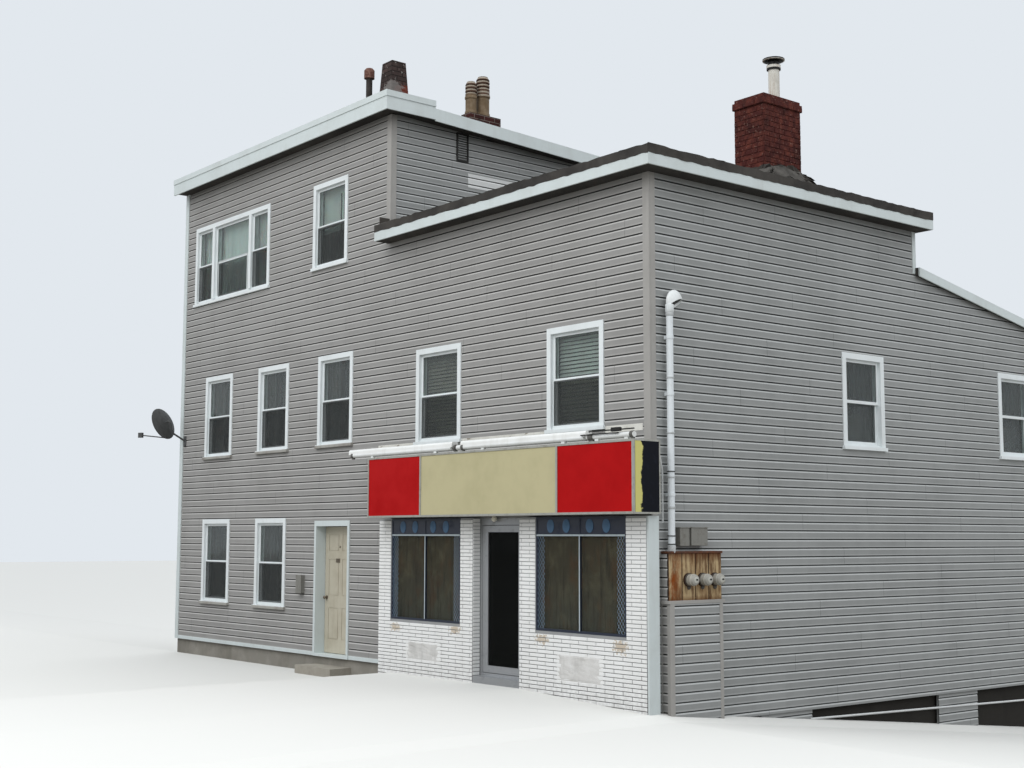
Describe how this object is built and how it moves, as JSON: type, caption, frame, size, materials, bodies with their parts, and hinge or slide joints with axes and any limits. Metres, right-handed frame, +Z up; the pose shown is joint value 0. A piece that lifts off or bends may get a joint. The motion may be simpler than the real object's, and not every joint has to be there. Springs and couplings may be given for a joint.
{
  "type": "corner shop building",
  "caption": "Clapboard corner building with a painted brick shopfront, a long sign cabinet, stepped flat roofs with stacks, sash windows and two hinged street doors.",
  "frame": {"origin": "foot of the foundation, under the middle of the wall between house and shop, midway from front to rear", "axes": "+Z up, -Y towards the street front, +X towards the side street at the shop corner"},
  "size_m": [13.4117, 11.3789, 10.83],
  "materials": {
    "foundation_concrete": "rough, stained",
    "floor_timber": "bare",
    "house_clapboard": "painted, dusty",
    "side_clapboard": "painted, weathered",
    "white_painted_brick": "painted",
    "party_board": "plain board",
    "roofing_felt": "matt",
    "roof_cement": "trowelled, rough",
    "white_trim": "painted, dusty",
    "window_white": "painted",
    "window_pane": "clear",
    "display_frame_blue": "satin",
    "display_board": "bare",
    "door_aluminium": "satin, worn",
    "door_cream": "painted, dirty",
    "door_brass": "tarnished",
    "step_concrete": "worn",
    "sign_aluminium": "satin",
    "sign_face": "faded",
    "lamp_housing": "weathered",
    "weathered_board": "peeling paint",
    "lamp_bowl": "dusty",
    "red_brick": "weathered",
    "rusty_steel": "rusted",
    "grey_cement": "rendered",
    "clay": "unglazed",
    "galvanised_steel": "weathered",
    "grey_cast_hood": "painted",
    "meter_panel_steel": "rusted",
    "meter_glass": "clear cover over a pale dial",
    "service_box_grey": "weathered",
    "white_conduit": "dusty",
    "skirt_metal": "dented",
    "louvre_grey": "weathered",
    "dish_grey": "matt, dusty"
  },
  "bodies": {
    "building": {"foundation": "foundation_concrete", "floors": "floor_timber", "house_front_wall_left": "house_clapboard", "house_front_wall_right": "house_clapboard", "house_front_wall_upper": "house_clapboard", "shop_front_wall_upper": "house_clapboard", "storefront_brick": "white_painted_brick", "side_wall": "side_clapboard", "house_rear_wall": "side_clapboard", "wing_rear_wall": "side_clapboard", "shop_rear_upstand": "side_clapboard", "party_wall": "party_board", "dividing_wall": "side_clapboard", "upper_roof": "roofing_felt", "shop_roof": "roofing_felt", "shop_roof_edge": "roofing_felt", "wing_roof": "roofing_felt", "roof_flashing": "roof_cement", "upper_fascia": "white_trim", "shop_fascia": "white_trim", "wing_trim": "white_trim", "corner_board": "white_trim", "front_windows": "window_white", "side_windows": "window_white", "rear_windows": "window_white", "window_glass": "window_pane", "display_window_frames": "display_frame_blue", "display_window_glass": "window_pane", "display_window_boards": "display_board", "shop_door_frame": "door_aluminium", "apartment_door_frame": "white_trim", "front_step": "step_concrete", "sign_box": "sign_aluminium", "sign_panels": "sign_face", "sign_lamps": "lamp_housing", "sign_backing_boards": "weathered_board", "door_lamp": "lamp_bowl", "red_chimney": "red_brick", "flue_pipe": "rusty_steel", "front_chimney": "grey_cement", "vent_pipe": "rusty_steel", "pot_stack": "red_brick", "clay_pots": "clay", "service_mast": "galvanised_steel", "weather_hood": "grey_cast_hood", "meter_panel": "meter_panel_steel", "electric_meters": "meter_glass", "meter_enclosure": "side_clapboard", "service_boxes": "service_box_grey", "wall_pipes": "white_conduit", "skirt_panels": "skirt_metal", "louvre_vent": "louvre_grey", "satellite_dish": "dish_grey"},
    "shop_leaf": {"shop_door": "door_aluminium", "shop_door_glass": "window_pane"},
    "apartment_leaf": {"apartment_door": "door_cream", "apartment_door_hardware": "door_brass"}
  },
  "joints": [
    {"name": "shop_door_hinge", "type": "hinge", "parent": "building", "child": "shop_leaf", "pos_m": [3.386, -5.233, 2.263], "axis": [0, 0, 1], "range_deg": [0, 90]},
    {"name": "apartment_door_hinge", "type": "hinge", "parent": "building", "child": "apartment_leaf", "pos_m": [-0.969, -4.992, 2.254], "axis": [0, 0, -1], "range_deg": [0, 90]}
  ]
}
